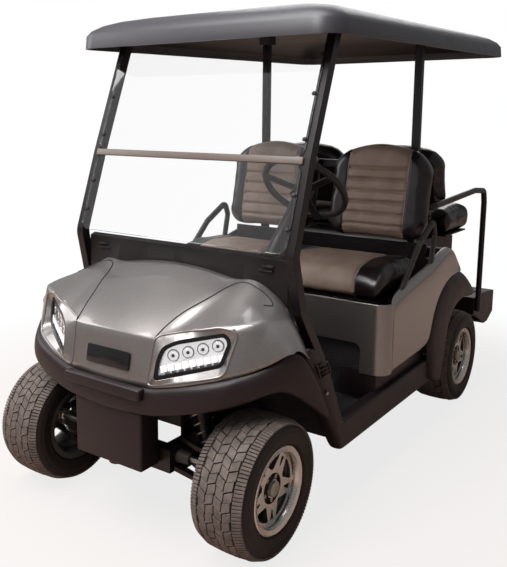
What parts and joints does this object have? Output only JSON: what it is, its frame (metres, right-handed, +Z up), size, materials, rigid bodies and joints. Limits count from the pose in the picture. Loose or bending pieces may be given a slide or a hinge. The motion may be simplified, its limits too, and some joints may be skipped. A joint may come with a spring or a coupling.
{
  "type": "golf cart",
  "caption": "Open electric golf cart with a roof, folding screen, front bench, rear-facing flip seat and footrest, on alloy wheels.",
  "frame": {"origin": "on the ground under the middle of the cart's overall length and width", "axes": "+X to the cart's left, -Y to its front, +Z up"},
  "size_m": [1.2, 2.721, 1.8447],
  "materials": {
    "body_paint": "metallic champagne grey paint, glossy clear coat",
    "black_moulding": "satin moulded black plastic",
    "frame_black": "black powder coat",
    "running_gear": "dusty black castings",
    "canopy_plastic": "satin dark grey moulded plastic",
    "clear_screen": "clear acrylic",
    "lamp_lens": "clear lens over bright reflectors",
    "tail_lens": "red lens",
    "battery_case": "moulded case",
    "black_vinyl": "glossy black vinyl",
    "tan_vinyl": "grey-brown sewn vinyl",
    "wheel_grip": "soft moulded grip",
    "tyre": "dusty tread",
    "alloy": "machined face, dark pockets"
  },
  "bodies": {
    "chassis": {"frame_rails": "frame_black", "front_suspension": "running_gear", "steering_rack": "running_gear", "rear_axle": "running_gear", "floor_pan": "black_moulding", "rocker_panels": "black_moulding", "cowl": "body_paint", "front_bumper": "black_moulding", "headlights": "lamp_lens", "dashboard": "black_moulding", "front_struts": "frame_black", "windscreen": "clear_screen", "canopy": "canopy_plastic", "rear_struts": "frame_black", "seat_box_front": "body_paint", "side_panels": "body_paint", "rear_flares": "black_moulding", "rear_body": "black_moulding", "seat_frame": "frame_black", "battery_pack": "battery_case", "front_backrests": "black_vinyl", "rear_backrests": "black_vinyl", "seat_back_frame": "frame_black", "hip_restraints": "frame_black", "footrest": "black_moulding", "grab_bars": "frame_black", "steering_column": "black_moulding", "pedals": "black_moulding", "tail_lights": "tail_lens"},
    "tie_rods": {"tie_rods": "running_gear"},
    "knuckle_left": {"knuckle_left": "running_gear"},
    "knuckle_right": {"knuckle_right": "running_gear"},
    "steering_wheel": {"steering_wheel": "wheel_grip"},
    "front_seat": {"front_seat_cushion": "tan_vinyl", "front_seat_pan": "black_moulding"},
    "rear_seat": {"rear_seat_cushion": "black_vinyl", "rear_seat_pan": "black_moulding"},
    "front_left_wheel": {"front_left_tyre": "tyre", "front_left_rim": "alloy"},
    "front_right_wheel": {"front_right_tyre": "tyre", "front_right_rim": "alloy"},
    "rear_left_wheel": {"rear_left_tyre": "tyre", "rear_left_rim": "alloy"},
    "rear_right_wheel": {"rear_right_tyre": "tyre", "rear_right_rim": "alloy"}
  },
  "joints": [
    {"name": "steering_wheel_turn", "type": "hinge", "parent": "chassis", "child": "steering_wheel", "pos_m": [0.265, -0.5105, 1.13], "axis": [0, 0.7071, 0.7071], "range_deg": [-270, 270]},
    {"name": "left_steer", "type": "hinge", "parent": "chassis", "child": "knuckle_left", "pos_m": [0.385, -1.1225, 0.2285], "axis": [0, 0, 1], "range_deg": [-30, 30]},
    {"name": "right_steer", "type": "hinge", "parent": "chassis", "child": "knuckle_right", "pos_m": [-0.385, -1.1225, 0.2285], "axis": [0, 0, 1], "range_deg": [-30, 30]},
    {"name": "tie_rod_slide", "type": "slide", "parent": "chassis", "child": "tie_rods", "axis": [1, 0, 0], "range_m": [-0.0345, 0.0345]},
    {"name": "front_left_spin", "type": "hinge", "parent": "knuckle_left", "child": "front_left_wheel", "pos_m": [0.4585, -1.1225, 0.2285], "axis": [1, 0, 0], "continuous": true},
    {"name": "front_right_spin", "type": "hinge", "parent": "knuckle_right", "child": "front_right_wheel", "pos_m": [-0.4585, -1.1225, 0.2285], "axis": [1, 0, 0], "continuous": true},
    {"name": "rear_left_spin", "type": "hinge", "parent": "chassis", "child": "rear_left_wheel", "pos_m": [0.4865, 0.5415, 0.2285], "axis": [1, 0, 0], "continuous": true},
    {"name": "rear_right_spin", "type": "hinge", "parent": "chassis", "child": "rear_right_wheel", "pos_m": [-0.4865, 0.5415, 0.2285], "axis": [1, 0, 0], "continuous": true},
    {"name": "front_seat_lift", "type": "hinge", "parent": "chassis", "child": "front_seat", "pos_m": [0, 0.0475, 0.686], "axis": [-1, 0, 0], "range_deg": [0, 42]},
    {"name": "rear_seat_flip", "type": "hinge", "parent": "chassis", "child": "rear_seat", "pos_m": [0, 0.8755, 0.826], "axis": [-1, 0, 0], "range_deg": [0, 180]}
  ],
  "couplings": [
    {"joint": "left_steer", "follows": "steering_wheel_turn", "ratio": 0.11111},
    {"joint": "right_steer", "follows": "steering_wheel_turn", "ratio": 0.11111},
    {"joint": "tie_rod_slide", "follows": "steering_wheel_turn", "m_per_rad": 0.0072222}
  ]
}
